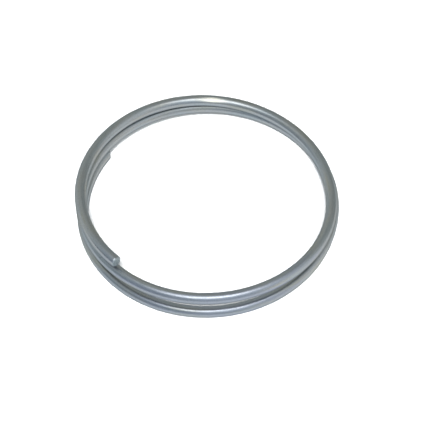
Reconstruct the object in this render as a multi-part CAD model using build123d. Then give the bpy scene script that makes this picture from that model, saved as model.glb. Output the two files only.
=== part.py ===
"""A split key ring: round spring wire wound into two turns and a bit, so that a key slides in between the turns.

The ring lies on a table, with its coil axis along +Z and the origin under its middle, at the table.
The wire is one piece. It is divided into stretches that meet face to face, because the wire flexes
when either end is pried open, and each stretch may then turn a little about the wire's own middle line.
"""
import math
import os

from build123d import *

# Driving dimensions, in millimetres and degrees.
OUTER_DIAMETER = 30.0       # across the outside of the coil
WIRE_DIAMETER = 1.3         # round spring wire
WOUND_ANGLE = 803.2         # from the upper end to the lower end, round the coil
UPPER_END_AZIMUTH = 225.0   # direction of the upper end from the middle, anticlockwise from +X
STRETCH_COUNT = 20          # equal lengths that the wire is divided into

# How the coil rises and falls, from its upper end: the angle wound so far, and the height of the
# wire's middle above the table there, in wire diameters. The wire runs level at each of these places.
COIL_HEIGHTS = (
    (-20.0, 3.76),          # where the upper turn would crest, just past its end
    (200.0, 1.72),          # upper turn close on the lower one, at the right
    (315.0, 2.50),          # upper turn sprung away from the lower one, at the front
    (590.0, 0.50),          # lower turn reaches the table
    (WOUND_ANGLE, 0.50),    # lower end, still on the table
)

# How far the turns stand outward from an even coil: the angle wound so far, and the distance in
# millimetres. At the right, the upper turn has sprung inward and the lower turn outward.
COIL_SWAY = (
    (0.0, 0.0),
    (90.0, 0.0),
    (205.0, -0.22),         # upper turn
    (260.0, 0.0),
    (470.0, 0.0),
    (555.0, 0.26),          # lower turn
    (610.0, 0.0),
    (WOUND_ANGLE, 0.0),
)

# The two cut ends. A cut that leans leaves the outer side of the wire longer, or the inner side
# where its lean is negative. The upper end is nearly square, with its rim tumbled round, and the
# lower end is a crisp slanting shear cut.
UPPER_CUT_LEAN = -6.0
LOWER_CUT_LEAN = 45.0
UPPER_END_ROUNDING = 0.25
LOWER_END_ROUNDING = 0.04

WIRE_RADIUS = WIRE_DIAMETER / 2
COIL_RADIUS = OUTER_DIAMETER / 2 - WIRE_RADIUS
STRETCH_ANGLE = WOUND_ANGLE / STRETCH_COUNT
FULL_TURN = 360.0


def stretch_names():
    """Names of the stretches along the wire, from its upper end to its lower end."""
    names = []
    for index in range(STRETCH_COUNT):
        middle = (index + 0.5) * STRETCH_ANGLE
        turn = ("upper_turn", "lower_turn", "overlap")[int(middle // FULL_TURN)]
        number = 1 + sum(name.startswith(turn) for name in names)
        names.append(f"{turn}_{number}")
    return names


def eased(places, wound):
    """Value at an angle wound, and its change per degree, eased smoothly between places that give it."""
    for (start, first), (end, last) in zip(places, places[1:]):
        if wound <= end:
            part = (wound - start) / (end - start)
            value = first + (last - first) * part * part * (3 - 2 * part)
            slope = (last - first) * 6 * part * (1 - part) / (end - start)
            return value, slope
    return places[-1][1], 0.0


def wire_point(wound):
    """Middle of the wire's section at an angle wound from the upper end."""
    azimuth = math.radians(UPPER_END_AZIMUTH - wound)
    height, _ = eased(COIL_HEIGHTS, wound)
    sway, _ = eased(COIL_SWAY, wound)
    radius = COIL_RADIUS + sway
    return Vector(radius * math.cos(azimuth), radius * math.sin(azimuth), height * WIRE_DIAMETER)


def wire_direction(wound):
    """Direction of the wire, towards its lower end. Seen from above, the wire winds clockwise."""
    azimuth = math.radians(UPPER_END_AZIMUTH - wound)
    _, rise = eased(COIL_HEIGHTS, wound)
    sway, spread = eased(COIL_SWAY, wound)
    along = (COIL_RADIUS + sway) * math.radians(1)
    outward = Vector(math.cos(azimuth), math.sin(azimuth), 0)
    onward = Vector(math.sin(azimuth), -math.cos(azimuth), 0)
    return (onward * along + outward * spread + Vector(0, 0, rise * WIRE_DIAMETER)).normalized()


def stretch_path(wound_start, wound_end):
    """Two arcs, tangent to each other and to the wire at both ends of a stretch."""
    start, end = wire_point(wound_start), wire_point(wound_end)
    leaving, arriving = wire_direction(wound_start), wire_direction(wound_end)
    chord = end - start
    along = chord.dot(leaving + arriving)
    bend = 2 * (1 - leaving.dot(arriving))
    reach = (math.sqrt(along * along + bend * chord.dot(chord)) - along) / bend
    middle = (start + end + (leaving - arriving) * reach) * 0.5
    first = TangentArc(start, middle, tangent=leaving)
    second = TangentArc(middle, end, tangent=first % 1)
    return Wire([first, second])


def section_plane(wound):
    """Plane square across the wire. Its x axis, where the surface's seam lies, points inward."""
    direction = wire_direction(wound)
    inward = Vector(0, 0, 1).cross(direction) * -1
    return Plane(wire_point(wound), x_dir=inward, z_dir=direction)


def wire_stretch(wound_start, wound_end):
    """A length of the wire between two angles, cut square across at both ends."""
    section = section_plane(wound_start) * Circle(WIRE_RADIUS)
    return sweep(section, path=stretch_path(wound_start, wound_end))


def spare_angle(lean):
    """Extra angle of wire that a leaning cut needs, so that it passes through the whole section."""
    spare_length = WIRE_DIAMETER * math.tan(math.radians(abs(lean)))
    return math.degrees(spare_length / COIL_RADIUS)


def cut_end(stretch, wound, outward, lean, rounding):
    """Cut a stretch off at a leaning plane, and break the sharp rim of the cut."""
    point = wire_point(wound)
    radial = Vector(point.X, point.Y, 0).normalized()
    cut_plane = Plane(point, z_dir=outward - radial * math.tan(math.radians(lean)))
    stretch = split(stretch, bisect_by=cut_plane, keep=Keep.BOTTOM)
    cut_face = stretch.faces().filter_by(GeomType.PLANE).sort_by_distance(point)[0]
    return fillet(cut_face.edges(), rounding)


def upper_end_stretch():
    """The stretch that holds the coil's upper end."""
    stretch = wire_stretch(-spare_angle(UPPER_CUT_LEAN), STRETCH_ANGLE)
    outward = wire_direction(0) * -1
    return cut_end(stretch, 0, outward, UPPER_CUT_LEAN, UPPER_END_ROUNDING)


def lower_end_stretch():
    """The stretch that holds the coil's lower end."""
    stretch = wire_stretch(WOUND_ANGLE - STRETCH_ANGLE, WOUND_ANGLE + spare_angle(LOWER_CUT_LEAN))
    outward = wire_direction(WOUND_ANGLE)
    return cut_end(stretch, WOUND_ANGLE, outward, LOWER_CUT_LEAN, LOWER_END_ROUNDING)


def split_ring():
    """Every stretch of the ring's wire, by name, from the upper end to the lower end."""
    cuts = [index * STRETCH_ANGLE for index in range(1, STRETCH_COUNT)]
    between = [wire_stretch(start, end) for start, end in zip(cuts, cuts[1:])]
    return dict(zip(stretch_names(), [upper_end_stretch(), *between, lower_end_stretch()]))


os.makedirs("parts", exist_ok=True)
for name, stretch in split_ring().items():
    export_step(stretch, f"parts/{name}.step")
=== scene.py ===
"""Looks of a split key ring: plated spring wire in two turns and an overlap, with two cut ends."""
import math

import bpy
from mathutils import Matrix, Vector, noise


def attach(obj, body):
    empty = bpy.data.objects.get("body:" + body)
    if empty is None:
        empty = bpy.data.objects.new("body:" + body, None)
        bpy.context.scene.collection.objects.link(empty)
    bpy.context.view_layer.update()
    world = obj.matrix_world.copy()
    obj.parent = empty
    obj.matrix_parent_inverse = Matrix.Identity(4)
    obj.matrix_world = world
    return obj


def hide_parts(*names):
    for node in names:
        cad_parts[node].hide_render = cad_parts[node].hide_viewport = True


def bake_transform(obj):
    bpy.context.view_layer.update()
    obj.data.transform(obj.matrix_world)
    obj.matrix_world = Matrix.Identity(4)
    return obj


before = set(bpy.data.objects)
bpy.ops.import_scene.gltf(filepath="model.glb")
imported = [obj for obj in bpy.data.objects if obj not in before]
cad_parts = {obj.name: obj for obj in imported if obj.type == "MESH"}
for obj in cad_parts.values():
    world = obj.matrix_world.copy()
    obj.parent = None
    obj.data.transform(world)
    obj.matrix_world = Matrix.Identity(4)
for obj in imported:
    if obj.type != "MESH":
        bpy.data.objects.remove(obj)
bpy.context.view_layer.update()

MM = 0.001

# The wire's line, as the CAD part has it. Lengths in metres, angles in degrees wound from the
# coil's upper end, heights of the wire's middle in wire diameters.
WIRE_DIAMETER = 1.3 * MM
WIRE_RADIUS = WIRE_DIAMETER / 2
COIL_RADIUS = 15.0 * MM - WIRE_RADIUS
WOUND_ANGLE = 803.2
UPPER_END_AZIMUTH = 225.0
STRETCH_COUNT = 20
STRETCH_ANGLE = WOUND_ANGLE / STRETCH_COUNT
FULL_TURN = 360.0
COIL_HEIGHTS = (
    (-20.0, 3.76),
    (200.0, 1.72),
    (315.0, 2.50),
    (590.0, 0.50),
    (WOUND_ANGLE + 20.0, 0.50),
)
COIL_SWAY = (                   # metres outward from an even coil
    (-20.0, 0.0),
    (90.0, 0.0),
    (205.0, -0.22 * MM),
    (260.0, 0.0),
    (470.0, 0.0),
    (555.0, 0.26 * MM),
    (610.0, 0.0),
    (WOUND_ANGLE + 20.0, 0.0),
)

# How finely the wire is meshed.
AROUND = 64                     # points round the wire
RING_STEP = 1.0                 # degrees wound between rings of points
CAP_RINGS = 14                  # rings of points on a cut face


def smoothstep(value):
    """0 below 0, 1 above 1, and smooth between."""
    value = min(max(value, 0.0), 1.0)
    return value * value * (3 - 2 * value)


# ---- The wire's line ----

def eased(places, wound):
    """Value at an angle wound and its change per degree, smooth between places that give it."""
    for (start, first), (end, last) in zip(places, places[1:]):
        if wound <= end:
            part = (wound - start) / (end - start)
            value = first + (last - first) * part * part * (3 - 2 * part)
            return value, (last - first) * 6 * part * (1 - part) / (end - start)
    return places[-1][1], 0.0


def wire_place(wound):
    """Middle of the wire, with the directions across it: outward, and then up."""
    azimuth = math.radians(UPPER_END_AZIMUTH - wound)
    height, rise = eased(COIL_HEIGHTS, wound)
    sway, spread = eased(COIL_SWAY, wound)
    radial = Vector((math.cos(azimuth), math.sin(azimuth), 0))
    onward = Vector((radial.y, -radial.x, 0)) * (COIL_RADIUS + sway) * math.radians(1)
    direction = (onward + radial * spread + Vector((0, 0, rise * WIRE_DIAMETER))).normalized()
    outward = Vector((0, 0, 1)).cross(direction).normalized()
    middle = radial * (COIL_RADIUS + sway) + Vector((0, 0, height * WIRE_DIAMETER))
    return middle, outward, direction.cross(outward)


def section_point(wound, across, up):
    """A point of the wire, given how far it is outward from and above the wire's middle line."""
    middle, outward, upward = wire_place(wound)
    return middle + outward * across + upward * up


def arc_length(wound):
    """Length of wire from the upper end to an angle wound."""
    return math.radians(wound) * COIL_RADIUS


def angle_of(length):
    """Degrees wound that a length of wire takes."""
    return math.degrees(length / COIL_RADIUS)


# ---- The wire's surface ----

# Out of round: the drawn wire is thinner than its named size by these shares of its radius.
THINNER_BY = 0.006
THINNER_SPREAD = 0.002
UNEVEN_LENGTH = 5.0             # wire radii along the wire over which that changes
UNEVEN_SCALE = 1.3              # and how quickly it changes round the wire

# The burnished band where the turn above or below rubs.
RUB_WIDTH = math.radians(24)    # half width
RUB_GAP = 0.30 * MM             # gap at which a neighbouring turn no longer rubs

# Painted shade: the colour is darkened where a turn faces the one above or the one below, as shade
# falls between the turns.
PAINTED_SHADE_WIDTH_TOP = math.radians(60)       # half widths
PAINTED_SHADE_WIDTH_UNDER = math.radians(95)
PAINTED_SHADE_GAP_TOP = 0.30 * MM                # gaps at which it is gone
PAINTED_SHADE_GAP_UNDER = 3.0 * MM
END_FADE = 14.0                 # degrees over which the burnished band and the painted shade fade out at the other turn's end

RUB_ZONE = (RUB_WIDTH, RUB_GAP)
PAINTED_SHADE_ZONE_TOP = (PAINTED_SHADE_WIDTH_TOP, PAINTED_SHADE_GAP_TOP)
PAINTED_SHADE_ZONE_UNDER = (PAINTED_SHADE_WIDTH_UNDER, PAINTED_SHADE_GAP_UNDER)

# The worn place at the back of the upper turn, where keys have rubbed the wire flatter. Its colour
# there is also made lighter and creamier, a painted highlight where the soft box reflects.
WORN_PLACE = 139.0              # degrees wound
WORN_LENGTH = 10.0              # degrees to each side
WORN_SIDE = math.radians(117)   # which way it faces: up and inward, where the soft box's highlight falls
WORN_WIDTH = math.radians(30)   # half width
WORN_EDGE = 0.5                 # share of the half width that is worn fully
WORN_FLATNESS = 0.7             # share of the way to a flat


def off_side(turned, side):
    """How far round the wire a place is from one side, in radians."""
    return abs((turned - side + math.pi) % (2 * math.pi) - math.pi)


def worn_here(wound):
    """How far into the worn place's length an angle wound is, from 0 to 1."""
    return 1 - smoothstep(abs(wound - WORN_PLACE) / WORN_LENGTH)


def worn(turned, wound):
    """How much keys have worn a place, from 0 to 1. It also sets how far the painted highlight
    lightens the colour.
    """
    beside = smoothstep(off_side(turned, WORN_SIDE) / WORN_WIDTH - WORN_EDGE)
    return worn_here(wound) * (1 - beside)


def roundness(turned, wound):
    """Radius of the wire's surface at a place, as a share of the wire's radius. Never over 1."""
    along = arc_length(wound) / WIRE_RADIUS / UNEVEN_LENGTH
    place = Vector((math.cos(turned), math.sin(turned), along))
    radius = 1 - THINNER_BY - THINNER_SPREAD * noise.noise(place * UNEVEN_SCALE)
    off_worn = min(off_side(turned, WORN_SIDE), WORN_WIDTH)
    flat = min(1.0, math.cos(WORN_WIDTH) / math.cos(off_worn))
    return radius - (1 - flat) * WORN_FLATNESS * worn_here(wound)


def gap_between(wound, other):
    """The gap between two turns, one above the other."""
    rise = eased(COIL_HEIGHTS, other)[0] - eased(COIL_HEIGHTS, wound)[0]
    return abs(rise) * WIRE_DIAMETER - WIRE_DIAMETER


def faces_turn(turned, wound, other, side, width, reach):
    """How squarely and closely a place faces another turn, which lies to one side, from 0 to 1."""
    near = 1 - smoothstep(gap_between(wound, other) / reach)
    square = 1 - smoothstep(off_side(turned, side) / width)
    before_end = smoothstep(other / END_FADE) * smoothstep((WOUND_ANGLE - other) / END_FADE)
    return before_end * near * square


def beside_turns(turned, wound, top, under):
    """The same for the turns above and below. top and under are each a half width and a reach."""
    return max(faces_turn(turned, wound, wound - FULL_TURN, math.pi / 2, *top),
               faces_turn(turned, wound, wound + FULL_TURN, -math.pi / 2, *under))


class Surface:
    """Rings of points on the wire's surface, with what the material needs to know at each."""

    def __init__(self, backward=False):
        self.backward = backward                # the rings run towards the coil's upper end
        self.points, self.faces, self.flat_faces = [], [], []
        self.places, self.cuts, self.rubs, self.films, self.worn = [], [], [], [], []
        self.rings = []

    def add_point(self, wound, across, up, cut, turned):
        """Add a point, and return its number."""
        self.points.append(section_point(wound, across, up))
        self.places += [across / WIRE_RADIUS, up / WIRE_RADIUS, arc_length(wound) / WIRE_RADIUS]
        self.cuts.append(cut)
        self.rubs.append(beside_turns(turned, wound, RUB_ZONE, RUB_ZONE) * (1 - cut))
        # Painted shade: how far the colour is darkened where this place faces a nearby turn.
        self.films.append(beside_turns(turned, wound, PAINTED_SHADE_ZONE_TOP, PAINTED_SHADE_ZONE_UNDER) * (1 - cut))
        # How far the worn place's painted highlight lightens the colour.
        self.worn.append(worn(turned, wound))
        return len(self.points) - 1

    def add_face(self, corners):
        """Add a face whose corners run anticlockwise from outside, where the rings run forward."""
        self.faces.append(tuple(corners[::-1] if self.backward else corners))

    def add_ring(self, spots):
        """Add a ring of points, and join it to the last ring."""
        ring = [self.add_point(*spot) for spot in spots]
        if self.rings:
            last = self.rings[-1]
            for i in range(AROUND):
                after = (i + 1) % AROUND
                self.add_face((last[i], last[after], ring[after], ring[i]))
        self.rings.append(ring)

    def add_middle(self, spot):
        """Close the first ring, round the middle of a cut face, with a point."""
        middle, ring = self.add_point(*spot), self.rings[0]
        for i in range(AROUND):
            self.add_face((middle, ring[(i + 1) % AROUND], ring[i]))

    def add_flat_face(self, last):
        """Close the last ring, or the first, with a flat face where the wire meets the next piece."""
        self.flat_faces.append(len(self.faces))
        self.add_face(self.rings[-1] if last else self.rings[0][::-1])

    def build(self, name, material):
        """Make the mesh object."""
        mesh = bpy.data.meshes.new(name)
        mesh.from_pydata(self.points, [], self.faces)
        flat = set(self.flat_faces)
        mesh.polygons.foreach_set("use_smooth", [i not in flat for i in range(len(self.faces))])
        layers = (("wire_place", "FLOAT_VECTOR", "vector", self.places),
                  ("cut_face", "FLOAT", "value", self.cuts),
                  ("rubbed", "FLOAT", "value", self.rubs),
                  ("film", "FLOAT", "value", self.films),
                  ("worn", "FLOAT", "value", self.worn))
        for layer, kind, field, values in layers:
            mesh.attributes.new(layer, kind, "POINT").data.foreach_set(field, values)
        mesh.materials.append(material)
        mesh.update()
        sharp = {key for face in self.flat_faces for key in mesh.polygons[face].edge_keys}
        for edge in mesh.edges:
            edge.use_edge_sharp = edge.key in sharp
        obj = bpy.data.objects.new(name, mesh)
        bpy.context.scene.collection.objects.link(obj)
        return obj


TURNED = [2 * math.pi * i / AROUND for i in range(AROUND)]


def plain_ring(wound):
    """A ring of points square across the wire."""
    spots = []
    for turned in TURNED:
        radius = WIRE_RADIUS * roundness(turned, wound)
        spots.append((wound, radius * math.cos(turned), radius * math.sin(turned), 0.0, turned))
    return spots


def stations(start, end):
    """Angles wound, about a ring step apart, from one to another."""
    count = max(2, round(abs(end - start) / RING_STEP))
    return [start + (end - start) * i / count for i in range(count + 1)]


# ---- The two cut ends ----

FADE_LENGTH = 3.0 * MM          # a leaning cut's rings are square again this far from it
RIM_RINGS = 9                   # rings of points over a rounded rim
STEP_GROWTH = 1.5               # how fast the rings spread out behind the rim
SOFT_FALLOFF = 1.5              # how quickly the rim's rounding tightens away from its soft side
RELIEF_EDGE = 0.25              # share of the face, at its rim, over which its relief fades out
REACH_ROUNDS = 4                # rounds that find a leaning cut's reach


class CutEnd:
    """A cut end of the wire: where it is, which way it faces, and its shape."""

    def __init__(self, wound, outward, lean, rim, soft_rim, soft_side, relief):
        self.wound = wound                      # the cut's middle
        self.outward = outward                  # 1 if the wire beyond would be wound further, else -1
        self.slant = math.tan(math.radians(lean))
        self.rim, self.soft_rim = rim, soft_rim         # least and most rounding
        self.soft_side = math.radians(soft_side)
        self.relief = relief

    def rounding(self, turned):
        """Radius of the rim's rounding, which is larger on the soft side."""
        near = (0.5 + 0.5 * math.cos(turned - self.soft_side)) ** SOFT_FALLOFF
        return self.rim + (self.soft_rim - self.rim) * near

    def reach(self, across):
        """Degrees by which the leaning cut passes its middle, at a distance outward in the wire."""
        beyond = 0.0
        for _ in range(REACH_ROUNDS):
            offset = (COIL_RADIUS + across) * math.cos(beyond) - COIL_RADIUS
            beyond = math.asin(self.slant * offset / (COIL_RADIUS + across))
        return math.degrees(beyond)

    def spot(self, distance, turned, share, proud):
        """A point at a distance behind the rim. share is how far out it is, up to the surface."""
        radius = self.rounding(turned)
        missing = radius - min(distance, radius)
        inset = radius - math.sqrt(radius * radius - missing * missing)
        out = (WIRE_RADIUS * roundness(turned, self.wound) - inset) * share
        across, up = out * math.cos(turned), out * math.sin(turned)
        fade = 1 - smoothstep(distance / FADE_LENGTH)
        wound = self.wound + self.outward * (self.reach(across) * fade + angle_of(proud - distance))
        cut = 1 - smoothstep(distance / radius)
        return (wound, across, up, cut, turned)

    def rings(self, until):
        """Rings of points from the cut's rim back along the wire."""
        distances = [self.soft_rim * (i / (RIM_RINGS - 1)) ** 2 for i in range(RIM_RINGS)]
        step = distances[-1] - distances[-2]
        while distances[-1] < FADE_LENGTH:
            step = min(step * STEP_GROWTH, arc_length(RING_STEP))
            distances.append(distances[-1] + step)
        rings = [[self.spot(d, turned, 1.0, 0.0) for turned in TURNED] for d in distances]
        rest = self.wound - self.outward * angle_of(distances[-1])
        rings += [plain_ring(wound) for wound in stations(rest, until)[1:]]
        return rings

    def face_rings(self):
        """Rings of points on the cut face, from its middle's neighbour out to just inside the rim."""
        rings = []
        for i in range(1, CAP_RINGS):
            share = i / CAP_RINGS
            level = smoothstep((1 - share) / RELIEF_EDGE)
            rings.append([self.spot(0.0, turned, share, self.relief(share, turned) * level)
                          for turned in TURNED])
        return rings

    def middle(self):
        """The point in the middle of the cut face."""
        return self.spot(0.0, 0.0, 0.0, self.relief(0.0, 0.0))


CROWN_HEIGHT = 0.035 * MM
DIMPLES = ((0.022 * MM, 2.6), (0.010 * MM, 7.0))        # each a depth, and a scale across the face


def tumbled_face(share, turned):
    """Relief of the upper end's face: a low crown with shallow dimples, left by tumbling."""
    place = Vector((share * math.cos(turned), share * math.sin(turned), 0.0))
    level = CROWN_HEIGHT * (1 - share * share)
    for depth, scale in DIMPLES:
        level += depth * noise.noise(place * scale)
    return level


# The lower end's face. Places on it are in wire radii, and depths in millimetres. Each part number
# only picks a place in the noise, so that no two patterns match.
SHEAR_HEIGHT = -0.25            # where the sheared part of the cut ends
SHEAR_WANDER = 0.10             # how far that line wanders up and down
WANDER_SCALE, WANDER_PART = 3, 1
SHEAR_EDGE = 0.12               # height over which smooth turns to rough
BREAK_DEPTH = 0.035             # how far the broken part is set back
BREAK_LUMPS = (0.030, 4.0, 5)   # depth, scale and part number
BREAK_GRAIN = (0.015, 11.0, 9)
SCORE_DEPTH = 0.003             # lines that the blade leaves up the face
SCORE_ACROSS, SCORE_UP, SCORE_PART = 16, 1.2, 3


def sheared_face(share, turned):
    """Relief of the lower end's face: smooth where the blade sheared it, rough where it broke off."""
    across, up = share * math.cos(turned), share * math.sin(turned)
    wander = SHEAR_WANDER * noise.noise(Vector((across * WANDER_SCALE, 0, WANDER_PART)))
    broken = smoothstep((SHEAR_HEIGHT - up + wander) / SHEAR_EDGE)
    rough = 0.0
    for depth, scale, part in (BREAK_LUMPS, BREAK_GRAIN):
        rough += depth * noise.noise(Vector((across, up, part)) * scale)
    place = Vector((across * SCORE_ACROSS, up * SCORE_UP, SCORE_PART))
    scored = SCORE_DEPTH * noise.noise(place)
    return MM * (scored + broken * (rough - BREAK_DEPTH))


UPPER_END = CutEnd(wound=0.0, outward=-1, lean=-6.0, rim=0.13 * MM, soft_rim=0.36 * MM,
                   soft_side=150.0, relief=tumbled_face)
LOWER_END = CutEnd(wound=WOUND_ANGLE, outward=1, lean=45.0, rim=0.025 * MM, soft_rim=0.05 * MM,
                   soft_side=90.0, relief=sheared_face)


# ---- Pieces of wire ----

# The hinges where the wire flexes: which cuts between stretches, and the bodies on the two sides.
FLEXING_CUTS = (
    (4, "upper_leaf", "upper_flex_3"),
    (5, "upper_flex_3", "upper_flex_2"),
    (6, "upper_flex_2", "upper_flex_1"),
    (7, "upper_flex_1", "middle"),
    (13, "middle", "lower_flex_3"),
    (14, "lower_flex_3", "lower_flex_2"),
    (15, "lower_flex_2", "lower_flex_1"),
    (16, "lower_flex_1", "lower_leaf"),
)
HALF_PIECE = 0.5                # a piece round a hinge reaches this far from it, in stretches

# Where the rigid pieces meet the flexing ones, in stretches from the upper end.
UPPER_LEAF_END = FLEXING_CUTS[0][0] - HALF_PIECE
MIDDLE_START = FLEXING_CUTS[3][0] + HALF_PIECE
MIDDLE_END = FLEXING_CUTS[4][0] - HALF_PIECE
LOWER_LEAF_START = FLEXING_CUTS[-1][0] + HALF_PIECE


def angle_at(stretches):
    """Degrees wound at a number of stretches from the upper end."""
    return stretches * STRETCH_ANGLE


def end_piece(name, end, until, material):
    """The wire from a cut end to the place where it meets the next piece."""
    surface = Surface(backward=end.outward > 0)
    for ring in end.face_rings():
        surface.add_ring(ring)
    surface.add_middle(end.middle())
    for ring in end.rings(angle_at(until)):
        surface.add_ring(ring)
    surface.add_flat_face(last=True)
    return surface.build(name, material)


def middle_piece(name, start, end, material):
    """The wire between two places where it meets the next pieces."""
    surface = Surface()
    for wound in stations(angle_at(start), angle_at(end)):
        surface.add_ring(plain_ring(wound))
    surface.add_flat_face(last=False)
    surface.add_flat_face(last=True)
    return surface.build(name, material)


def stretch_names():
    """Names of the CAD's stretches along the wire, from its upper end to its lower end."""
    names = []
    for index in range(STRETCH_COUNT):
        middle = angle_at(index + 0.5)
        turn = ("upper_turn", "lower_turn", "overlap")[int(middle // FULL_TURN)]
        number = 1 + sum(name.startswith(turn) for name in names)
        names.append(f"{turn}_{number}")
    return names


def stands_for(start, end):
    """The piece stands for every CAD stretch that it shares wire with, between two places."""
    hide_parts(*stretch_names()[math.floor(start):math.ceil(end)])


def make_wire(material):
    """The whole wire: rigid pieces that ride on a body, and a piece round each hinge, which rides on
    no body.
    """
    upper = end_piece("wire_upper_leaf", UPPER_END, UPPER_LEAF_END, material)
    middle = middle_piece("wire_middle", MIDDLE_START, MIDDLE_END, material)
    lower = end_piece("wire_lower_leaf", LOWER_END, LOWER_LEAF_START, material)
    rigid = ((upper, "upper_leaf", 0, UPPER_LEAF_END),
             (middle, "middle", MIDDLE_START, MIDDLE_END),
             (lower, "lower_leaf", LOWER_LEAF_START, STRETCH_COUNT))
    for piece, body, start, end in rigid:
        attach(piece, body)
        stands_for(start, end)
    for cut, before, after in FLEXING_CUTS:
        start, end = cut - HALF_PIECE, cut + HALF_PIECE
        piece = middle_piece(f"wire_flex_{cut}", start, end, material)
        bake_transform(piece)
        stands_for(start, end)


# ---- Material ----

class Nodes:
    """Short ways to add nodes to a material."""

    def __init__(self, tree):
        self.tree = tree

    def feed(self, socket, value):
        """Give a socket another node's output, a colour or a value."""
        if isinstance(value, bpy.types.NodeSocket):
            self.tree.links.new(value, socket)
        elif socket.type == "RGBA":
            socket.default_value = (*value, 1.0)
        else:
            socket.default_value = value

    def add(self, kind, settings=None, **inputs):
        """Add a node. Inputs go by name, or as i and a number, and each is fed a value."""
        node = self.tree.nodes.new(kind)
        for key, value in (settings or {}).items():
            setattr(node, key, value)
        for key, value in inputs.items():
            socket = int(key[1:]) if key[1:].isdigit() else key.replace("_", " ")
            self.feed(node.inputs[socket], value)
        return node

    def noise(self, place, stretch, scale, detail, roughness):
        """Noise from 0 to 1, its pattern stretched by three scales."""
        mapped = self.add("ShaderNodeMapping", Vector=place, Scale=stretch).outputs[0]
        return self.add("ShaderNodeTexNoise", Vector=mapped, Scale=scale, Detail=detail,
                        Roughness=roughness).outputs["Fac"]

    def range(self, value, span, onto=(0.0, 1.0)):
        """A value's span mapped smoothly onto another."""
        return self.add("ShaderNodeMapRange", {"interpolation_type": "SMOOTHSTEP"}, Value=value,
                        i1=span[0], i2=span[1], i3=onto[0], i4=onto[1]).outputs[0]

    def math(self, operation, first, second):
        """Arithmetic on two values."""
        return self.add("ShaderNodeMath", {"operation": operation}, i0=first, i1=second).outputs[0]

    def mix(self, share, first, second, blend_type="MIX"):
        """A mix of two colours."""
        settings = {"data_type": "RGBA", "blend_type": blend_type}
        return self.add("ShaderNodeMix", settings, i0=share, i6=first, i7=second).outputs[2]

    def attribute(self, name, output="Fac"):
        """What the mesh says at each point."""
        return self.add("ShaderNodeAttribute", {"attribute_name": name}).outputs[output]


# Patterns on the wire: stretch across, up and along it, then scale per wire radius, detail and
# roughness.
TINT = ((1.0, 1.0, 0.16), 0.9, 3.0, 0.5)
DRIFT = ((1.2, 1.2, 0.10), 1.1, 2.0, 0.5)
DRAWN_LINES = ((1.0, 1.0, 0.012), 9.0, 4.0, 0.6)
GRAIN = ((1.0, 1.0, 0.8), 6.0, 4.0, 0.7)
CLOUD = ((1.0, 1.0, 0.5), 2.2, 4.0, 0.6)
MARKS = ((1.0, 1.0, 0.6), 5.0, 2.0, 0.5)
SPECKLE = ((1.0, 1.0, 1.0), 6.0, 3.0, 0.7)

# Colours, and the span of a pattern over which each comes in.
PLATING = (0.448, 0.470, 0.475)
PLATING_OLIVE = (0.443, 0.460, 0.424)
PLATING_CYAN = (0.412, 0.458, 0.482)
PLATING_BLUE = (0.417, 0.452, 0.509)
# Painted highlight: the worn place's lighter, creamier colour, where the soft box reflects.
PLATING_WORN_HIGHLIGHT = (0.50, 0.50, 0.44)
GRAZING_TINT = (0.34, 0.36, 0.37)
CUT_GREY = (0.40, 0.46, 0.48)
CUT_BRIGHT = (0.52, 0.58, 0.62)
CUT_DARK = (0.18, 0.22, 0.24)
CYAN_SPAN = (0.40, 0.64)
OLIVE_SPAN = (0.46, 0.30)
TINT_SHARE = (0.0, 0.9)         # how far the tint goes towards cyan or olive
BLUE_SIDE = 272.0               # azimuth of the side that is tinted bluest
BLUE_SPAN = (0.65, 1.05)
BLUE_DRIFT = (-0.35, 0.35)      # how unevenly the blue comes in
BRIGHT_SPAN = (0.50, 0.64)
DARK_SPAN = (0.44, 0.34)
DARK_SHARE = (0.0, 0.7)

# Shades that the patterns multiply the colour by.
PATTERN_SPAN = (0.3, 0.7)       # the span that a pattern's values mostly lie in
DRAWN_SPAN = (0.25, 0.75)
DRAWN_SHADE = (0.88, 1.09)
GRAIN_SHADE = (0.88, 1.10)
MARKS_SPAN = (0.66, 0.74)
MARKS_SHADE = (1.0, 0.82)
RUB_SHADE = (1.0, 1.10)
# Painted shade between the turns: the colour darkens to about half where a turn faces a nearby one.
PAINTED_SHADE_SPAN = (0.0, 0.6)
PAINTED_SHADE_DARKNESS = (1.0, 0.48)
WHOLE_SPAN = (0.0, 1.0)

# What the patterns add to the roughness and to the height, with heights in bump depths.
CLOUD_ROUGHNESS = (0.29, 0.38)
DRAWN_ROUGHNESS = (-0.03, 0.04)
RUB_ROUGHNESS = (0.0, -0.07)
CUT_ROUGHNESS = (0.0, 0.18)
DRAWN_HEIGHT = 0.5
GRAIN_HEIGHT = 0.20
MARKS_HEIGHT = (0.0, -0.5)
SPECKLE_HEIGHT = 1.5            # on the cut faces only
BUMP_DEPTH = 0.02 * MM
BUMP_STRENGTH = 0.35


def blue_side(n, place):
    """How far a place is on the side where the colour is bluest, from -1 to 1, unevenly."""
    length = n.add("ShaderNodeSeparateXYZ", i0=place).outputs[2]
    turned = n.math("MULTIPLY", length, WIRE_RADIUS / COIL_RADIUS)
    turned = n.math("SUBTRACT", turned, math.radians(UPPER_END_AZIMUTH - BLUE_SIDE))
    side = n.math("COSINE", turned, 0.0)
    return n.math("ADD", side, n.range(n.noise(place, *DRIFT), PATTERN_SPAN, BLUE_DRIFT))


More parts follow.
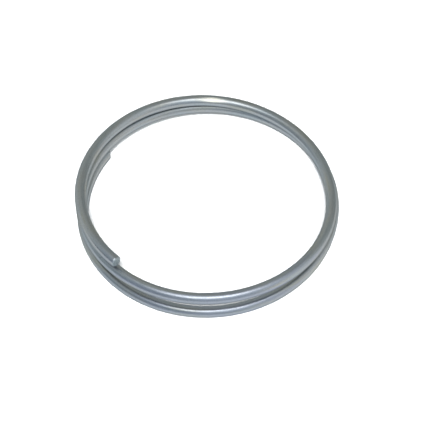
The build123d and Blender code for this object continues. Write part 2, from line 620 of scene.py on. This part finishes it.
def wire_material():
    """Satin plating on drawn wire: drawn lines, fine grain, faint tints, marks, burnished bands,
    painted shade between the turns and a painted highlight on the worn place.
    """
    material = bpy.data.materials.new("plated_wire")
    material.use_nodes = True
    tree = material.node_tree
    tree.nodes.clear()
    n = Nodes(tree)
    place = n.attribute("wire_place", "Vector")
    cut, rub = n.attribute("cut_face"), n.attribute("rubbed")
    film, worn_highlight = n.attribute("film"), n.attribute("worn")
    tint, drawn, grain, cloud, marks, speckle = (
        n.noise(place, *pattern) for pattern in (TINT, DRAWN_LINES, GRAIN, CLOUD, MARKS, SPECKLE))

    colour = n.mix(n.range(tint, CYAN_SPAN, TINT_SHARE), PLATING, PLATING_CYAN)
    colour = n.mix(n.range(tint, OLIVE_SPAN, TINT_SHARE), colour, PLATING_OLIVE)
    colour = n.mix(n.range(blue_side(n, place), BLUE_SPAN), colour, PLATING_BLUE)
    # Painted highlight: lighter, creamier colour on the worn place.
    colour = n.mix(worn_highlight, colour, PLATING_WORN_HIGHLIGHT)
    shade = n.range(drawn, DRAWN_SPAN, DRAWN_SHADE)
    shade = n.math("MULTIPLY", shade, n.range(grain, PATTERN_SPAN, GRAIN_SHADE))
    shade = n.math("MULTIPLY", shade, n.range(marks, MARKS_SPAN, MARKS_SHADE))
    shade = n.math("MULTIPLY", shade, n.range(rub, WHOLE_SPAN, RUB_SHADE))
    # Painted shade: darken the colour where a turn faces a nearby one.
    shade = n.math("MULTIPLY", shade, n.range(film, PAINTED_SHADE_SPAN, PAINTED_SHADE_DARKNESS))
    grey = n.add("ShaderNodeCombineColor", i0=shade, i1=shade, i2=shade).outputs[0]
    colour = n.mix(1.0, colour, grey, "MULTIPLY")
    cut_colour = n.mix(n.range(speckle, BRIGHT_SPAN), CUT_GREY, CUT_BRIGHT)
    cut_colour = n.mix(n.range(speckle, DARK_SPAN, DARK_SHARE), cut_colour, CUT_DARK)
    colour = n.mix(cut, colour, cut_colour)

    rough = n.range(cloud, PATTERN_SPAN, CLOUD_ROUGHNESS)
    rough = n.math("ADD", rough, n.range(drawn, PATTERN_SPAN, DRAWN_ROUGHNESS))
    rough = n.math("ADD", rough, n.range(rub, WHOLE_SPAN, RUB_ROUGHNESS))
    rough = n.math("ADD", rough, n.range(cut, WHOLE_SPAN, CUT_ROUGHNESS))

    height = n.math("MULTIPLY", drawn, DRAWN_HEIGHT)
    height = n.math("ADD", height, n.math("MULTIPLY", grain, GRAIN_HEIGHT))
    height = n.math("ADD", height, n.range(marks, MARKS_SPAN, MARKS_HEIGHT))
    cut_height = n.math("MULTIPLY", n.math("MULTIPLY", speckle, cut), SPECKLE_HEIGHT)
    height = n.math("ADD", height, cut_height)
    bump = n.add("ShaderNodeBump", Strength=BUMP_STRENGTH, Distance=BUMP_DEPTH,
                 Height=height).outputs[0]

    shader = n.add("ShaderNodeBsdfPrincipled", Base_Color=colour, Metallic=1.0, Roughness=rough,
                   Specular_Tint=GRAZING_TINT, Normal=bump).outputs[0]
    n.add("ShaderNodeOutputMaterial", Surface=shader)
    return material


# ---- Floor, light and camera ----

FLOOR_RADIUS = 3.0
FLOOR_CORNERS = 96
FLOOR_COLOUR = (0.92, 0.92, 0.92, 1)
FLOOR_ROUGHNESS = 0.9


def make_floor():
    """A plain pale floor under the ring."""
    rim = []
    for i in range(FLOOR_CORNERS):
        turned = 2 * math.pi * i / FLOOR_CORNERS
        rim.append((FLOOR_RADIUS * math.cos(turned), FLOOR_RADIUS * math.sin(turned), 0))
    mesh = bpy.data.meshes.new("floor")
    mesh.from_pydata(rim, [], [tuple(range(FLOOR_CORNERS))])
    material = bpy.data.materials.new("floor")
    material.use_nodes = True
    shader = material.node_tree.nodes["Principled BSDF"]
    shader.inputs["Base Color"].default_value = FLOOR_COLOUR
    shader.inputs["Roughness"].default_value = FLOOR_ROUGHNESS
    shader.inputs["Specular IOR Level"].default_value = 0.0
    mesh.materials.append(material)
    floor = bpy.data.objects.new("floor", mesh)
    bpy.context.scene.collection.objects.link(floor)
    floor.visible_glossy = False    # the room's own table colours show in the wire instead


# The room that the wire reflects. Before is the viewer's side, beyond the far side.
ROOM_BEYOND_LEFT = (0.49, 0.51, 0.49)
ROOM_BEYOND_RIGHT = (0.36, 0.375, 0.36)
ROOM_BEYOND_EDGE = (0.62, 0.65, 0.65)       # paler at its left edge
ROOM_BEFORE_LEFT = (0.36, 0.42, 0.47)
ROOM_BEFORE = (0.66, 0.73, 0.79)
ROOM_BEFORE_RIGHT = (0.80, 0.82, 0.83)
ROOM_CEILING = (0.45, 0.49, 0.53)
ROOM_LOW_LEFT = (0.26, 0.29, 0.36)
ROOM_LOW = (0.38, 0.42, 0.50)
ROOM_LOW_RIGHT = (0.84, 0.84, 0.84)
TABLE_BEYOND = (0.78, 0.80, 0.78)
TABLE_BEFORE = (0.92, 0.96, 1.00)
TABLE_RIGHT = (1.04, 1.04, 1.02)

# Where one colour gives way to the next: the room's direction runs from -1 to 1 to the right,
# away from the viewer, and up.
BEYOND_ACROSS = (-0.6, 0.4)
BEYOND_EDGE = (-0.55, -0.85)
LEFT_TO_MIDDLE = (-0.50, 0.05)
MIDDLE_TO_RIGHT = (0.40, 0.85)
LOW_TO_RIGHT = (0.40, 0.90)
WALL_TO_CEILING = (0.65, 0.95)
LOW_TO_WALL = (0.05, 0.50)
BEYOND_TO_BEFORE = (0.40, -0.15)
TABLE_TO_BEFORE = (0.6, 0.1)
TABLE_TO_RIGHT = (0.45, 0.85)
ROOM_TO_TABLE = (0.0, -0.10)


def make_world():
    """The room: mid grey beyond the table and to the left, lighter and cooler behind the viewer."""
    world = bpy.data.worlds.new("room")
    bpy.context.scene.world = world
    world.use_nodes = True
    tree = world.node_tree
    tree.nodes.clear()
    n = Nodes(tree)
    direction = n.add("ShaderNodeTexCoord").outputs["Generated"]
    x, y, z = n.add("ShaderNodeSeparateXYZ", i0=direction).outputs
    beyond = n.mix(n.range(x, BEYOND_ACROSS), ROOM_BEYOND_LEFT, ROOM_BEYOND_RIGHT)
    beyond = n.mix(n.range(x, BEYOND_EDGE), beyond, ROOM_BEYOND_EDGE)
    before = n.mix(n.range(x, LEFT_TO_MIDDLE), ROOM_BEFORE_LEFT, ROOM_BEFORE)
    before = n.mix(n.range(x, MIDDLE_TO_RIGHT), before, ROOM_BEFORE_RIGHT)
    before = n.mix(n.range(z, WALL_TO_CEILING), before, ROOM_CEILING)
    low = n.mix(n.range(x, LEFT_TO_MIDDLE), ROOM_LOW_LEFT, ROOM_LOW)
    low = n.mix(n.range(x, LOW_TO_RIGHT), low, ROOM_LOW_RIGHT)
    before = n.mix(n.range(z, LOW_TO_WALL), low, before)
    colour = n.mix(n.range(y, BEYOND_TO_BEFORE), beyond, before)
    table = n.mix(n.range(y, TABLE_TO_BEFORE), TABLE_BEYOND, TABLE_BEFORE)
    table = n.mix(n.range(x, TABLE_TO_RIGHT), table, TABLE_RIGHT)
    colour = n.mix(n.range(z, ROOM_TO_TABLE), colour, table)
    background = n.add("ShaderNodeBackground", Color=colour, Strength=1.0).outputs[0]
    n.add("ShaderNodeOutputWorld", Surface=background)


SOFTBOX_TILT = 18.0             # degrees from straight above, towards the viewer
SOFTBOX_DISTANCE = 0.40
SOFTBOX_SIZE = (0.25, 0.22)     # across, and towards the viewer
SOFTBOX_POWER = 0.56            # watts
SOFTBOX_COLOUR = (1.0, 0.99, 0.98)
KEY_ELEVATION = 60.0            # degrees above the table, from the viewer's side
KEY_ANGLE = 10.0                # how wide the key light looks, in degrees
KEY_STRENGTH = 4.4              # watts per square metre


def make_soft_box():
    """The soft box whose reflection is the highlight along the wire. It doesn't light the floor."""
    tilt = math.radians(SOFTBOX_TILT)
    place = Vector((0, -math.sin(tilt), math.cos(tilt))) * SOFTBOX_DISTANCE
    light = bpy.data.lights.new("soft_box", "AREA")
    light.shape = "RECTANGLE"
    light.size, light.size_y = SOFTBOX_SIZE
    light.energy = SOFTBOX_POWER
    light.color = SOFTBOX_COLOUR
    soft_box = bpy.data.objects.new("soft_box", light)
    soft_box.location = place
    soft_box.rotation_euler = (-place).to_track_quat("-Z", "Y").to_euler()
    soft_box.visible_diffuse = False
    bpy.context.scene.collection.objects.link(soft_box)


def make_floor_key():
    """The key light, which brightens the floor and isn't reflected by the wire."""
    light = bpy.data.lights.new("floor_key", "SUN")
    light.energy = KEY_STRENGTH
    light.angle = math.radians(KEY_ANGLE)
    key = bpy.data.objects.new("floor_key", light)
    key.rotation_euler = (math.radians(90 - KEY_ELEVATION), 0, 0)
    key.visible_glossy = False
    bpy.context.scene.collection.objects.link(key)


ELEVATION = math.radians(53.502)
ROLL = math.radians(-1.989)
CAMERA_DISTANCE = 15.993 * COIL_RADIUS
COIL_IN_VIEW = 0.289614         # coil radius as a share of the view's width, at the coil's middle
OFFSET_RIGHT = 0.841 * MM       # how far the camera is moved, across its own view
OFFSET_DOWN = 0.431 * MM
SENSOR_WIDTH = 36.0
CLIP_NEAR, CLIP_FAR = 0.01, 20.0


def make_camera():
    """The camera, above the front of the ring, a little off its middle."""
    data = bpy.data.cameras.new("camera")
    data.sensor_width = SENSOR_WIDTH
    data.lens = SENSOR_WIDTH * COIL_IN_VIEW * CAMERA_DISTANCE / COIL_RADIUS
    data.clip_start, data.clip_end = CLIP_NEAR, CLIP_FAR
    right = Vector((1, 0, 0))
    upward = Vector((0, math.sin(ELEVATION), math.cos(ELEVATION)))
    back = Vector((0, -math.cos(ELEVATION), math.sin(ELEVATION)))
    x_axis = right * math.cos(ROLL) + upward * math.sin(ROLL)
    y_axis = upward * math.cos(ROLL) - right * math.sin(ROLL)
    place = back * CAMERA_DISTANCE + x_axis * OFFSET_RIGHT - y_axis * OFFSET_DOWN
    camera = bpy.data.objects.new("camera", data)
    turn = Matrix((x_axis, y_axis, back)).transposed().to_4x4()
    camera.matrix_world = Matrix.Translation(place) @ turn
    bpy.context.scene.collection.objects.link(camera)
    bpy.context.scene.camera = camera


make_camera()
make_wire(wire_material())
make_floor()
make_world()
make_soft_box()
make_floor_key()
bpy.context.scene.view_settings.view_transform = "Standard"

bpy.context.view_layer.update()
